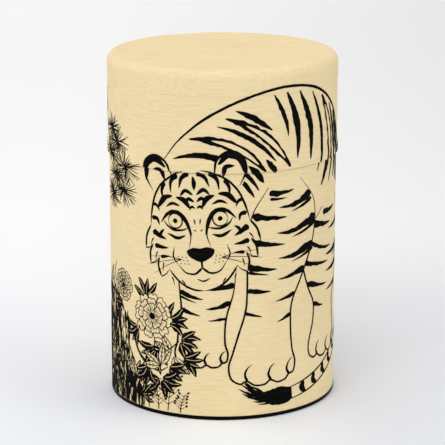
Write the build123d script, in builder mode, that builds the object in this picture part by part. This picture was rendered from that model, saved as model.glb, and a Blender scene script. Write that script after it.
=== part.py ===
from build123d import *

import os

# A paper-covered tinplate tea caddy: body, lifting lid and an airtight inner lid under it.
#
# Every metal piece is thin sheet bent along a path and turned about the caddy's axis, and every
# paper piece is a sheet laid over the metal one. The frame has +Z up, with its origin at the
# centre of the ring that the caddy stands on. The decorated front faces -Y, and the paper's
# overlapping edges and the metal's lap seams run up the back, on the +Y side.

# Driving dimensions, in millimetres.
CADDY_HEIGHT = 115.0
BODY_DIAMETER = 75.0
LID_DIAMETER = 75.7
LID_HEIGHT = 33.0
NECK_HEIGHT = 22.0
SHOULDER_RADIUS = 3.0
RIM_BULGE = 0.33
BASE_BAND_HEIGHT = 1.3
KNOB_HEIGHT = 10.5
KNOB_DIAMETER = 15.0

# Sheet thicknesses and gaps.
TIN = 0.3
PAPER = 0.2
TOP_PAPER = 0.1
GLUE = 0.01
ASSEMBLY_GAP = 0.02
SLIDE_GAP = 0.08
REST_GAP = 0.05
TIGHT_BEND = 0.05
SOFT_BEND = 0.6

# Radii of the body, from the paper inwards.
BODY_PAPER_R = BODY_DIAMETER / 2
TUBE_R = BODY_PAPER_R - PAPER - GLUE
TUBE_INNER_R = TUBE_R - TIN
SLEEVE_R = TUBE_INNER_R - 2 * ASSEMBLY_GAP
SLEEVE_INNER_R = SLEEVE_R - TIN

# Radii of the lid, from the paper inwards. The hem is folded in until it just clears the neck.
LID_PAPER_R = LID_DIAMETER / 2
LID_WALL_R = LID_PAPER_R - PAPER - GLUE
HEM_INNER_R = SLEEVE_R + SLIDE_GAP
HEM_OUTER_R = LID_WALL_R + RIM_BULGE
STEP_R = LID_WALL_R - TIN - GLUE

# Heights.
BODY_TOP = CADDY_HEIGHT - LID_HEIGHT
TUBE_TOP = BODY_TOP - PAPER - GLUE
NECK_TOP = BODY_TOP + NECK_HEIGHT
HEM_BOTTOM = BODY_TOP + REST_GAP + PAPER + GLUE
HEM_TOP = HEM_BOTTOM + 3.6
BULGE_EDGE = HEM_BOTTOM + 2.2
BULGE_TOP = HEM_BOTTOM + 5.2
BULGE_BEND = 6.0
CAP_TOP = CADDY_HEIGHT - TOP_PAPER - GLUE
CAP_SKIRT_BOTTOM = CAP_TOP - 8.0
STEP_TOP = CAP_SKIRT_BOTTOM - 0.3
STEP_BOTTOM = STEP_TOP - 1.2

# The base: its panel is raised so that the caddy stands on the ring alone.
BASE_RECESS = 3.0
BASE_LIP_R = TUBE_R + ASSEMBLY_GAP + TIN
BASE_WALL_R = TUBE_INNER_R - ASSEMBLY_GAP - TIN
BASE_BEAD_OUTER_R = 30.0
BASE_BEAD_INNER_R = 24.0
BASE_BEAD_DEPTH = 0.8
BASE_BEAD_SLOPE = 1.0
BASE_BEAD_BEND = 0.8

# The neck's rolled edge and the inner lid that plugs into it.
ROLL_WIDTH = 1.0
ROLL_DEPTH = 1.3
ROLL_INNER_R = SLEEVE_R - ROLL_WIDTH
PLUG_R = ROLL_INNER_R - 0.07
PLUG_TAPER = 0.15
PLUG_DEPTH = 5.5
PLUG_BEND = 0.8
FLANGE_R = SLEEVE_R - 0.1
FLANGE_BOTTOM = NECK_TOP + ASSEMBLY_GAP
PANEL_BOTTOM = FLANGE_BOTTOM - PLUG_DEPTH
PANEL_BEAD_OUTER_R = 24.0
PANEL_BEAD_INNER_R = 20.0
PANEL_BEAD_DEPTH = 0.6
PANEL_SLOPE = 0.8
BOSS_RISE = 0.6
BOSS_R = 7.5
BOSS_BOTTOM = PANEL_BOTTOM + BOSS_RISE
RIVET_R = 1.5
RIVET_CLEARANCE = 0.05
RIVET_HEAD_R = 3.2
RIVET_HEAD_HEIGHT = 0.7
RIVET_GRIP = 4.5

# The knob: its outline's places are shares of its height and of its head's radius.
KNOB_HEAD_R = KNOB_DIAMETER / 2
KNOB_FOOT_R = 0.68 * KNOB_HEAD_R
KNOB_WAIST_R = 0.36 * KNOB_HEAD_R
KNOB_FOOT_HEIGHT = 0.8
KNOB_EDGE_DEPTH = 0.3
KNOB_HEAD_LOW = 0.64 * KNOB_HEIGHT
KNOB_HEAD_HIGH = 0.76 * KNOB_HEIGHT
KNOB_HOLE_DEPTH = RIVET_GRIP + 0.1

# Lap seams and paper overlaps at the back.
LAP_WIDTH = 4.0
LAP_MARGIN = 1.5
LID_LAP = 0.27
OVERLAP_WIDTH = 7.0
OVERLAP_MARGIN = 0.5
OVERLAP = 0.12


def sheet_profile(points, bends, thickness):
    """The cut face, in the XZ plane, of a sheet that lies on the left of a path with round bends.

    A negative thickness puts the sheet on the right. Bends are the path's own radii.
    """
    corners = [Vector(*point) for point in points]
    ways = [(end - start).normalized() for start, end in zip(corners, corners[1:])]
    lefts = [Vector(-way.Y, way.X) for way in ways]
    far_corners = [corners[0] + lefts[0] * thickness]
    far_bends = []
    for corner, bend, before, after in zip(corners[1:], bends, lefts, lefts[1:]):
        turns_left = before.cross(after).Z > 0
        far_corners.append(corner + (before + after) * (thickness / (1 + before.dot(after))))
        far_bends.append(bend - thickness if turns_left else bend + thickness)
    far_corners.append(corners[-1] + lefts[-1] * thickness)
    with BuildSketch(Plane.XZ) as profile:
        with BuildLine():
            near = FilletPolyline(*corners, radius=bends)
            far = FilletPolyline(*far_corners, radius=far_bends)
            Line(near @ 0, far @ 0)
            Line(near @ 1, far @ 1)
        make_face()
    return profile.sketch


def back_strip(outer_r, inner_r, width, low):
    """The plan of a strip at the back, between two radii and as wide as given."""
    with BuildSketch(Plane.XY.offset(low)) as strip:
        Circle(outer_r)
        Circle(inner_r, mode=Mode.SUBTRACT)
        with Locations((0, outer_r)):
            Rectangle(width, outer_r, mode=Mode.INTERSECT)
    return strip.sketch


# The base is a stamped pan whose edge is curled round the foot of the body tube.
with BuildPart() as base_cap:
    path = [
        (BASE_LIP_R, BASE_BAND_HEIGHT),
        (BASE_LIP_R, 0),
        (BASE_WALL_R, 0),
        (BASE_WALL_R, BASE_RECESS),
        (BASE_BEAD_OUTER_R, BASE_RECESS),
        (BASE_BEAD_OUTER_R - BASE_BEAD_SLOPE, BASE_RECESS - BASE_BEAD_DEPTH),
        (BASE_BEAD_INNER_R + BASE_BEAD_SLOPE, BASE_RECESS - BASE_BEAD_DEPTH),
        (BASE_BEAD_INNER_R, BASE_RECESS),
        (0, BASE_RECESS),
    ]
    foot_bend = TIN + TIGHT_BEND
    bends = [foot_bend, foot_bend, TIGHT_BEND] + [BASE_BEAD_BEND] * 4
    revolve(sheet_profile(path, bends, -TIN), axis=Axis.Z)
base_cap.part.label = "base_cap"

# The body tube stands in the curled edge of the base.
with BuildPart() as body_tube:
    tube_foot = TIN + ASSEMBLY_GAP
    with BuildSketch(Plane.XY.offset(tube_foot)):
        Circle(TUBE_R)
        Circle(TUBE_INNER_R, mode=Mode.SUBTRACT)
    extrude(amount=TUBE_TOP - tube_foot)
    chamfer(body_tube.edges().group_by(Axis.Z)[-1], TIGHT_BEND)
body_tube.part.label = "body_tube"

# The sleeve lines the body and rises above it as the neck. Its mouth is rolled inwards.
with BuildPart() as inner_sleeve:
    sleeve_foot = BASE_RECESS + TIN + ASSEMBLY_GAP
    path = [
        (SLEEVE_R, sleeve_foot),
        (SLEEVE_R, NECK_TOP),
        (ROLL_INNER_R, NECK_TOP),
        (ROLL_INNER_R, NECK_TOP - ROLL_DEPTH),
    ]
    roll_bend = ROLL_WIDTH / 2 - TIGHT_BEND
    revolve(sheet_profile(path, [roll_bend, roll_bend], TIN), axis=Axis.Z)
    lap_inner_r = SLEEVE_INNER_R - TIN
    strip = back_strip(SLEEVE_INNER_R + TIN / 2, lap_inner_r, LAP_WIDTH, sleeve_foot)
    extrude(strip, amount=NECK_TOP - 2 * ROLL_DEPTH - sleeve_foot)
inner_sleeve.part.label = "inner_sleeve"

# The body's paper runs from the base's band up to the tube's edge and folds over it.
with BuildPart() as body_washi:
    paper_foot = BASE_BAND_HEIGHT + ASSEMBLY_GAP
    path = [
        (BODY_PAPER_R, paper_foot),
        (BODY_PAPER_R, BODY_TOP),
        (SLEEVE_R + ASSEMBLY_GAP, BODY_TOP),
    ]
    revolve(sheet_profile(path, [PAPER + TIGHT_BEND], PAPER), axis=Axis.Z)
    overlap_top = BODY_TOP - PAPER - TIGHT_BEND
    overlap_r = BODY_PAPER_R + OVERLAP
    strip = back_strip(overlap_r, BODY_PAPER_R - PAPER / 2, OVERLAP_WIDTH, paper_foot)
    extrude(strip, amount=overlap_top - paper_foot)
body_washi.part.label = "body_washi"

# The lid's wall steps in under the cap, swells above its edge and folds into an inner hem.
with BuildPart() as lid_wall:
    path = [
        (STEP_R, CAP_TOP - SHOULDER_RADIUS),
        (STEP_R, STEP_TOP),
        (LID_WALL_R, STEP_BOTTOM),
        (LID_WALL_R, BULGE_TOP),
        (HEM_OUTER_R, BULGE_EDGE),
        (HEM_OUTER_R, HEM_BOTTOM),
        (HEM_INNER_R, HEM_BOTTOM),
        (HEM_INNER_R, HEM_TOP),
    ]
    hem_bend = (HEM_OUTER_R - HEM_INNER_R) / 2 - TIGHT_BEND
    bends = [SOFT_BEND, SOFT_BEND, BULGE_BEND, BULGE_BEND, hem_bend, hem_bend]
    revolve(sheet_profile(path, bends, -TIN), axis=Axis.Z)
    lap_low, lap_high = HEM_TOP + LAP_MARGIN, STEP_BOTTOM - LAP_MARGIN
    strip = back_strip(LID_WALL_R - TIN / 2, LID_WALL_R - TIN - LID_LAP, LAP_WIDTH, lap_low)
    extrude(strip, amount=lap_high - lap_low)
lid_wall.part.label = "lid_wall"

# The drawn cap closes the lid with a round shoulder, and its skirt fits over the wall's step.
with BuildPart() as lid_cap:
    path = [
        (LID_WALL_R, CAP_SKIRT_BOTTOM),
        (LID_WALL_R, CAP_TOP),
        (0, CAP_TOP),
    ]
    revolve(sheet_profile(path, [SHOULDER_RADIUS - PAPER], TIN), axis=Axis.Z)
lid_cap.part.label = "lid_cap"

# The lid's side paper is turned under the hem and runs up to the shoulder.
with BuildPart() as lid_side_washi:
    path = [
        (HEM_INNER_R + TIN, HEM_BOTTOM - GLUE),
        (HEM_OUTER_R + GLUE, HEM_BOTTOM - GLUE),
        (HEM_OUTER_R + GLUE, BULGE_EDGE),
        (LID_WALL_R + GLUE, BULGE_TOP),
        (LID_WALL_R + GLUE, CAP_TOP - SHOULDER_RADIUS),
    ]
    bends = [hem_bend + GLUE, BULGE_BEND, BULGE_BEND]
    revolve(sheet_profile(path, bends, -PAPER), axis=Axis.Z)
    overlap_low, overlap_high = BULGE_TOP + OVERLAP_MARGIN, CAP_SKIRT_BOTTOM - OVERLAP_MARGIN
    overlap_r = LID_PAPER_R + OVERLAP
    strip = back_strip(overlap_r, LID_PAPER_R - PAPER / 2, OVERLAP_WIDTH, overlap_low)
    extrude(strip, amount=overlap_high - overlap_low)
lid_side_washi.part.label = "lid_side_washi"

# The top paper is a round sheet pressed down over the shoulder and onto the side paper.
with BuildPart() as lid_top_washi:
    path = [
        (LID_PAPER_R + GLUE, CAP_SKIRT_BOTTOM),
        (LID_PAPER_R + GLUE, CAP_TOP + GLUE),
        (0, CAP_TOP + GLUE),
    ]
    revolve(sheet_profile(path, [SHOULDER_RADIUS - TOP_PAPER], -TOP_PAPER), axis=Axis.Z)
lid_top_washi.part.label = "lid_top_washi"

# The inner lid is a stamped pan: a flange on the neck's roll, a tapered plug and a raised boss.
with BuildPart() as inner_lid_pan:
    path = [
        (FLANGE_R, FLANGE_BOTTOM),
        (PLUG_R, FLANGE_BOTTOM),
        (PLUG_R - PLUG_TAPER, PANEL_BOTTOM),
        (PANEL_BEAD_OUTER_R, PANEL_BOTTOM),
        (PANEL_BEAD_OUTER_R - PANEL_SLOPE, PANEL_BOTTOM - PANEL_BEAD_DEPTH),
        (PANEL_BEAD_INNER_R + PANEL_SLOPE, PANEL_BOTTOM - PANEL_BEAD_DEPTH),
        (PANEL_BEAD_INNER_R, PANEL_BOTTOM),
        (BOSS_R + PANEL_SLOPE, PANEL_BOTTOM),
        (BOSS_R, BOSS_BOTTOM),
        (RIVET_R + RIVET_CLEARANCE, BOSS_BOTTOM),
    ]
    bends = [TIGHT_BEND, PLUG_BEND] + [SOFT_BEND] * 6
    revolve(sheet_profile(path, bends, -TIN), axis=Axis.Z)
inner_lid_pan.part.label = "inner_lid_pan"

# The turned knob has a foot, a waist and a domed head, and a blind hole for the rivet.
with BuildPart() as inner_lid_knob:
    knob_foot = BOSS_BOTTOM + TIN + GLUE
    foot_top = knob_foot + KNOB_FOOT_HEIGHT
    head_low, head_high = knob_foot + KNOB_HEAD_LOW, knob_foot + KNOB_HEAD_HIGH
    knob_top = knob_foot + KNOB_HEIGHT
    with BuildSketch(Plane.XZ):
        with BuildLine():
            foot = Polyline((0, knob_foot), (KNOB_FOOT_R, knob_foot), (KNOB_FOOT_R, foot_top))
            waist = Bezier(
                foot @ 1,
                (KNOB_WAIST_R, foot_top + 1.2),
                (KNOB_WAIST_R, head_low - 0.8),
                (KNOB_HEAD_R - KNOB_EDGE_DEPTH, head_low),
            )
            edge = ThreePointArc(
                waist @ 1,
                (KNOB_HEAD_R, (head_low + head_high) / 2),
                (KNOB_HEAD_R - KNOB_EDGE_DEPTH, head_high),
            )
            crown = Bezier(
                edge @ 1,
                (0.75 * KNOB_HEAD_R, knob_top - 0.5),
                (0.4 * KNOB_HEAD_R, knob_top),
                (0, knob_top),
            )
            Line(crown @ 1, foot @ 0)
        make_face()
    revolve(axis=Axis.Z)
    with Locations(Plane.XY.offset(knob_foot).rotated((180, 0, 0))):
        Hole(RIVET_R + ASSEMBLY_GAP, depth=KNOB_HOLE_DEPTH)
inner_lid_knob.part.label = "inner_lid_knob"

# The rivet comes up through the boss from below and is set in the knob.
with BuildPart() as inner_lid_rivet:
    head_top = BOSS_BOTTOM - GLUE
    with BuildSketch(Plane.XY.offset(head_top - RIVET_HEAD_HEIGHT)):
        Circle(RIVET_HEAD_R)
    extrude(amount=RIVET_HEAD_HEIGHT)
    fillet(inner_lid_rivet.edges().sort_by(Axis.Z)[0], RIVET_HEAD_HEIGHT * 0.6)
    with BuildSketch(Plane.XY.offset(head_top)):
        Circle(RIVET_R)
    extrude(amount=TIN + RIVET_GRIP)
inner_lid_rivet.part.label = "inner_lid_rivet"

os.makedirs("parts", exist_ok=True)
for piece in (
    base_cap,
    body_tube,
    inner_sleeve,
    body_washi,
    lid_wall,
    lid_cap,
    lid_side_washi,
    lid_top_washi,
    inner_lid_pan,
    inner_lid_knob,
    inner_lid_rivet,
):
    export_step(piece.part, f"parts/{piece.part.label}.step")
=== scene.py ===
"""Looks for a paper-covered tea caddy: washi sheets with an ink drawing, and the tin inside them.

The drawing is the builder's own: a generic brush-drawn tiger, peonies, rocks and a pine branch.
Lengths are in millimetres until a mesh is made, and MM turns them into metres.
"""

import math
import random

import bpy
import numpy as np
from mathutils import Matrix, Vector, noise
from mathutils.geometry import delaunay_2d_cdt


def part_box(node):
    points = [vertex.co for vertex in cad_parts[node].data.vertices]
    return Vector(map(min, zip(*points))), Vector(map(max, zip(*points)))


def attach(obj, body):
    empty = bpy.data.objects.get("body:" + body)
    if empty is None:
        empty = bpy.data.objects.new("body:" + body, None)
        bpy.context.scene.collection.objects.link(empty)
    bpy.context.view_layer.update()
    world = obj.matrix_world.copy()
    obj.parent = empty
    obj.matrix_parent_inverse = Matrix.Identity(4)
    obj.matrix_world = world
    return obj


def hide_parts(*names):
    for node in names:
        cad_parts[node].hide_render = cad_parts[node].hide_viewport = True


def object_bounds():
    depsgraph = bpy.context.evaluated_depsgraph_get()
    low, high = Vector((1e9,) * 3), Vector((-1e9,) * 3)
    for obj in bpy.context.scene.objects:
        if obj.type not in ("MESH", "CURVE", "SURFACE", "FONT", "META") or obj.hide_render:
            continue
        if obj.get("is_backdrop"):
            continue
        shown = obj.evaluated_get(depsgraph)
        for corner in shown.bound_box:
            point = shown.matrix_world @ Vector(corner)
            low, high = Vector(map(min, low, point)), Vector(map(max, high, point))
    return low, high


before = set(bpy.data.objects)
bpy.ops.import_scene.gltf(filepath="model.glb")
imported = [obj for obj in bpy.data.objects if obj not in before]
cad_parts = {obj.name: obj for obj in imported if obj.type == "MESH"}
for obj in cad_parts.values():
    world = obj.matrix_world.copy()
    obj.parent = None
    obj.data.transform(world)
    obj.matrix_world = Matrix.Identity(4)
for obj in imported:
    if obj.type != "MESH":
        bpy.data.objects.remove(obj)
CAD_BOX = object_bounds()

MM = 0.001
scene = bpy.context.scene


# The ink drawing --------------
# Its plane is the paper laid flat, in millimetres: u runs round the caddy from the middle of the
# front, to the right, and z is the height. Later shapes cover earlier ones.

rng = random.Random(11)
shapes = []

STROKE_STEP = 0.6
BLANK_STEP = 0.9
VEIN_STEP = 1.5
STROKE_ROUGH = 0.07

# A stroke's width along its way, as a share of the whole, with t from 0 to 1.
PRESSURE = {
    "line": lambda t: np.minimum(1, 0.25 + 5 * t) * np.minimum(1, 0.1 + 5 * (1 - t)),
    "stripe": lambda t: np.sin(np.pi * (0.04 + 0.94 * t)) ** 0.75,
    "wedge": lambda t: np.minimum(1, 0.35 + 9 * t) * (1 - t) ** 0.65,
    "leaf": lambda t: np.sin(np.pi * t) ** 0.8 * (1.15 - 0.3 * t),
    "needle": lambda t: 1 - 0.75 * t,
    "pine": lambda t: np.minimum(1, 0.3 + 1.6 * t) * (1.1 - 0.7 * t),
    "tuft": lambda t: (0.62 + 0.55 * np.sin(np.pi * np.minimum(1, 1.5 * t))) * (1 - t) ** 0.4,
    "blot": lambda t: np.sqrt(np.maximum(0, 1 - (2 * t - 1) ** 2)),
}


def smooth_path(points, step, closed=False):
    """Places about a step apart along a smooth curve through the points."""
    p = np.array(points, float)
    if closed:
        p = np.vstack([p[-1], p, p[0], p[1]])
    else:
        p = np.vstack([2 * p[0] - p[1], p, 2 * p[-1] - p[-2]])
    path = []
    for a, b, c, d in zip(p, p[1:], p[2:], p[3:]):
        count = max(2, math.ceil(np.linalg.norm(c - b) / step))
        for t in np.arange(count) / count:
            bend = (2 * a - 5 * b + 4 * c - d) * t * t + (3 * b - a - 3 * c + d) * t**3
            path.append(b + ((c - a) * t + bend) / 2)
    if not closed:
        path.append(p[-2])
    return np.array(path)


def wander(count, reach):
    """Small seeded numbers, smoothed once, to roughen an edge."""
    steps = np.array([rng.uniform(-reach, reach) for _ in range(count)])
    return (np.roll(steps, -1) + 2 * steps + np.roll(steps, 1)) / 3


def directions(path):
    """Unit vectors along the path at its points, and across it to the left."""
    ways = np.gradient(path, axis=0)
    ways /= np.maximum(np.linalg.norm(ways, axis=1), 1e-9)[:, None]
    return ways, np.column_stack([-ways[:, 1], ways[:, 0]])


def inside(points, outline):
    """Which points lie inside a closed outline, by its winding number."""
    start, end = outline, np.roll(outline, -1, axis=0)
    turns = np.zeros(len(points), int)
    for (u0, z0), (u1, z1) in zip(start, end):
        if z0 != z1:
            crosses = (min(z0, z1) <= points[:, 1]) & (points[:, 1] < max(z0, z1))
            reach = u0 + (points[:, 1] - z0) * (u1 - u0) / (z1 - z0)
            turns += np.where(crosses & (points[:, 0] < reach), 1 if z1 > z0 else -1, 0)
    return turns != 0


def blank(points, step=BLANK_STEP):
    """Bare paper inside a smooth closed outline."""
    shapes.append((smooth_path(points, step, closed=True), False))


def brush(points, width, press="line", rough=STROKE_ROUGH, step=STROKE_STEP, wet=True):
    """One brush stroke through the points; a dry one is bare paper."""
    path = smooth_path(points, step)
    across = directions(path)[1]
    runs = np.concatenate([[0], np.cumsum(np.linalg.norm(np.diff(path, axis=0), axis=1))])
    half = width / 2 * PRESSURE[press](runs / runs[-1])
    left = path + across * (half * (1 + wander(len(path), 2 * rough)))[:, None]
    right = path - across * (half * (1 + wander(len(path), 2 * rough)))[:, None]
    shapes.append((np.vstack([left, right[::-1]]), wet))


def contour(points, width):
    """A closed outline in ink, with bare paper inside."""
    blank(points, STROKE_STEP)
    brush(points + [points[0]], width)


def moved(points, place, size=1, turn=0):
    """A small figure's points, sized, turned by degrees and set at a place."""
    c, s = math.cos(math.radians(turn)) * size, math.sin(math.radians(turn)) * size
    return [(place[0] + x * c - y * s, place[1] + x * s + y * c) for x, y in points]


def arc(x, y, radius, start, end, count):
    """Points along an arc about a place, in degrees."""
    turns = np.radians(np.linspace(start, end, count))
    return [(x + radius * math.cos(t), y + radius * math.sin(t)) for t in turns]


def between(start, end, t, bow):
    """The point a share t along a line, pushed aside by bow times the line's length."""
    start, end = np.array(start, float), np.array(end, float)
    way = end - start
    return start + way * t + np.array([-way[1], way[0]]) * bow


# Pine -------------------------

NEEDLES = 32
NEEDLE_WIDTH = 0.42
BURST_RISE = 0.72


def pine_burst(place, reach):
    """A spray of pine needles, rather wider than it is high."""
    for k in range(NEEDLES):
        turn = 2 * math.pi * (k + rng.uniform(-0.5, 0.5)) / NEEDLES
        length = reach * rng.uniform(0.55, 1)
        bow = turn + rng.uniform(-0.12, 0.12)
        half_rise = BURST_RISE / 2 * length
        middle = (place[0] + length / 2 * math.cos(bow), place[1] + half_rise * math.sin(bow))
        tip = (place[0] + length * math.cos(turn), place[1] + 2 * half_rise * math.sin(turn))
        brush([place, middle, tip], NEEDLE_WIDTH, "pine", step=2.5)


# Peony, leaves and sprigs -----

RIB_HALF = 0.11
LEAF_LINE = 0.3
MIDRIB = 0.28
VEIN = 0.22
PETAL_LINE = 0.26
PETAL_VEIN = 0.2
STAMENS = 14
TWIGS = 5


def dark_leaf(base, tip, width):
    """A filled leaf with a bare midrib."""
    way = tip - base
    middle = between(base, tip, 0.5, rng.uniform(-0.12, 0.12))
    brush([base, middle, tip], width, "leaf", rough=0.12)
    rib = smooth_path([base + way * 0.12, middle, base + way * 0.86], 1.2)
    offset = np.array([-way[1], way[0]]) / np.linalg.norm(way) * RIB_HALF
    shapes.append((np.vstack([rib + offset, (rib - offset)[::-1]]), False))


def open_leaf(base, tip, width):
    """An outlined leaf with veins."""
    way = tip - base
    side = np.array([-way[1], way[0]]) / np.linalg.norm(way) * width / 2
    contour([base, base + way * 0.4 + side, tip, base + way * 0.4 - side], LEAF_LINE)
    brush([base, tip], MIDRIB)
    for k in (0.3, 0.5, 0.7):
        for sign in (-1, 1):
            brush([base + way * k, base + way * (k + 0.14) + sign * side * 0.6], VEIN, step=VEIN_STEP)


def leaf_spray(place, reach, turns, width, leaf=dark_leaf):
    """Leaves that fan out from one place, with turns in degrees."""
    for turn in turns:
        length = reach * rng.uniform(0.8, 1.1)
        way = np.array([math.cos(math.radians(turn)), math.sin(math.radians(turn))])
        start = np.array(place) + way * reach * 0.08
        leaf(start, np.array(place) + way * length, width)


def petal(place, turn, inner, outer, width):
    """One ruffled petal of a flower, between two radii."""
    ruffle = [rng.uniform(-0.06, 0.06) * outer for _ in range(3)]
    figure = [
        (0, inner),
        (-width * 0.42, inner + (outer - inner) * 0.45),
        (-width * 0.5, outer * 0.93 + ruffle[0]),
        (-width * 0.18, outer + ruffle[1]),
        (0.04 * width, outer * 0.94),
        (width * 0.24, outer + ruffle[2]),
        (width * 0.5, outer * 0.9),
        (width * 0.4, inner + (outer - inner) * 0.4),
    ]
    contour(moved(figure, place, turn=turn), PETAL_LINE)
    for k in (-0.2, 0, 0.22):
        vein = [(k * width * 0.6, inner + 0.3 * (outer - inner)), (k * width, outer * 0.84)]
        brush(moved(vein, place, turn=turn), PETAL_VEIN, "wedge", step=VEIN_STEP)


def peony(place, reach):
    """A full flower in rings of petals, with a dark heart and its stamens."""
    for inner, outer, count in ((0.45, 1, 11), (0.3, 0.78, 9), (0.15, 0.55, 7)):
        for k in range(count):
            turn = 360 * (k + rng.uniform(-0.18, 0.18)) / count
            petal(place, turn, inner * reach, outer * reach, 5.2 * outer * reach / count)
    heart = [(place[0] - reach * 0.17, place[1]), (place[0] + reach * 0.17, place[1])]
    brush(heart, reach * 0.32, "blot", step=0.3)
    for k in range(STAMENS):
        turn = 2 * math.pi * k / STAMENS
        way = np.array([math.cos(turn), math.sin(turn)]) * reach
        brush([np.array(place) + way * 0.2, np.array(place) + way * 0.34], VEIN, step=1)


STEMS = [
    [(-14, -33), (-9, -26), (-2, -20), (1, -11), (0, -3)],
    [(-9, -26), (-2, -26), (4, -24)],
    [(-2, -20), (3, -21), (7, -19)],
    [(1, -12), (7, -12), (12, -8)],
    [(-2, -20), (-8, -14), (-7, -6), (-3, 7)],
    [(-13, -31), (-9, -30), (-5, -32)],
]
# Where each spray of leaves starts, its reach, its leaves' turns, their width and kind.
SPRAYS = [
    (-9, -26, 9, (70, 100, 128), 2.4, open_leaf),
    (9, -14, 9, (-70, -44, 120, 150), 3, open_leaf),
    (7, -19, 9, (-38, -12, 14), 3),
    (4, -24, 9, (-75, -42, -8, 25, 195, 225), 2.8),
    (2, -12, 10, (-110, -80, -52, 175, 205, 232), 2.8),
    (4, -19, 9, (60, 85, 150, 185), 3, open_leaf),
    (12, -8, 8, (-70, -45, -18, 8, 34), 2.6),
    (13, -15, 8, (-50, -22, 2, 26), 2.6),
    (-2, -20, 8, (-120, -95, -60, 200, 228), 2.6),
    (7, -1, 9, (-40, -12, 14, 42, 70), 2.6),
    (-3, 7, 9, (50, 82, 118, 150), 2.4),
    (-7, -6, 8, (160, 200, 235, 262), 2.4),
    (-5, -32, 7, (-20, 12, 48, 85), 2.2),
]
FLOWER_REACH = 8.8


def bush(place, size):
    """A peony and its leaves on a forked stem."""
    for stem in STEMS:
        brush(moved(stem, place, size), 1.1 * size, "needle", rough=0.2)
    for x, y, reach, turns, width, *leaf in SPRAYS:
        leaf_spray((place[0] + x * size, place[1] + y * size), reach * size, turns, width * size, *leaf)
    peony(place, FLOWER_REACH * size)


def sprig(place, height, lean):
    """A thin stem with pairs of twigs, each with a bud."""
    top = (place[0] + lean, place[1] + height)
    middle = (place[0] + lean * 0.25, place[1] + height * 0.5)
    brush([place, middle, top], 0.34, "needle")
    for k in range(1, TWIGS + 1):
        t = k / (TWIGS + 0.5)
        stem = (place[0] + lean * t * t, place[1] + height * t)
        for sign in (-1, 1):
            reach = height * 0.26 * (1.15 - 0.5 * t)
            tip = (stem[0] + sign * reach, stem[1] + reach * rng.uniform(0.5, 1))
            brush([stem, tip], 0.25, "needle", step=2)
            brush([tip, (tip[0] + sign * 0.9, tip[1] + 0.7)], 0.75, "leaf", step=0.5)


# Rocks ------------------------

ROCK = [(-30, 2.2), (-31, 9), (-34, 18), (-36, 28), (-39, 37), (-45, 44), (-51, 40), (-55, 26), (-57, 2.2)]
FAR_ROCK = [(116, 2.2), (90, 2.2), (92, 14), (98, 22), (104, 34), (109, 30), (114, 20)]


def rock(outline, strokes, scratches):
    """A dark ragged mass, scratched with bare streaks like a woodcut."""
    edge = smooth_path(outline, 1.2, closed=True)
    low, high = edge[:, 1].min(), edge[:, 1].max()
    for count, width, wet in ((strokes, 1.5, True), (scratches, 0.55, False), (strokes // 2, 0.4, True)):
        for _ in range(count):
            u = rng.uniform(edge[:, 0].min(), edge[:, 0].max())
            z = low + (high - low) * rng.uniform(0, 1) ** 1.3
            if inside(np.array([[u, z]]), edge)[0]:
                length = rng.uniform(3, 9)
                sway = rng.uniform(-1.3, 1.3)
                points = [(u, z - length / 2), (u + sway, z), (u - sway * 0.4, z + length / 2)]
                brush(points, width * rng.uniform(0.5, 1.2), "stripe", rough=0.3, wet=wet)




# The tiger's body -------------
# A generic brush-drawn tiger that stands with its head low and its back arched.

BACK = [(-19, 86), (-14, 92.5), (-5, 100), (7, 106), (20, 109)]
BACK += [(33, 107.5), (44, 101), (52, 90), (57, 76), (60, 58)]
BELLY = [(-12, 58), (-4, 56), (4, 56), (12, 55), (20, 53), (28, 52), (36, 51), (43, 50), (49, 49), (55, 48)]
UNDERSIDE = [(59, 42), (48, 34), (34, 40), (24, 46), (12, 52), (0, 50), (-14, 50), (-22, 62), (-23, 76)]
STRIPED = [(u, z - 1.2) for u, z in BACK]
STRIPED += [(59, 40), (46, 30), (26, 40), (0, 44), (-14, 48), (-22, 62), (-22, 76)]
SHOULDER = [(8, 48), (7, 58), (8, 68), (13, 78), (22, 83), (31, 80), (36, 71), (35, 60), (30, 48)]
THIGH = [(30, 42), (27, 52), (30, 62), (38, 70), (49, 72), (58, 67), (62, 57), (59, 46), (52, 38)]
HEAD = (-8, 66)
NECK = (-8, 63)
BACK_LINE = 0.85
SPLIT_WIDTH = 3

# Share along the back, share of the way down, width and bow.
FLANK_STRIPES = (
    (0.355, 0.32, 1.5, 0.12), (0.395, 0.54, 2.3, 0.13), (0.435, 0.68, 2.3, 0.16), (0.485, 0.62, 1.6, 0.18),
    (0.53, 0.9, 3.5, 0.2), (0.58, 0.64, 1.7, 0.2), (0.62, 0.94, 2.7, 0.21), (0.67, 0.9, 3.4, 0.21),
    (0.72, 0.68, 1.7, 0.2), (0.76, 0.95, 2.6, 0.19), (0.81, 0.86, 3, 0.18), (0.86, 0.66, 1.6, 0.16),
    (0.9, 0.86, 2, 0.15), (0.95, 0.64, 1.5, 0.1),
)
# Radius about the neck, first and last angle in degrees, and width.
NECK_RINGS = (
    (21, 14, 58, 1.5), (23.5, 30, 112, 2.2), (26, 0, 54, 2.2), (28.5, 40, 124, 3.2), (31, 4, 46, 1.9),
    (33, 40, 84, 1.6), (33.5, 92, 122, 1.8), (36, 2, 88, 3.2), (39, 52, 110, 1.9), (42, 66, 96, 1.7),
)


def along(points, t):
    """The point a share t along a smooth curve through the points."""
    path = smooth_path(points, 0.5)
    return path[int(round(t * (len(path) - 1)))]


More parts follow.
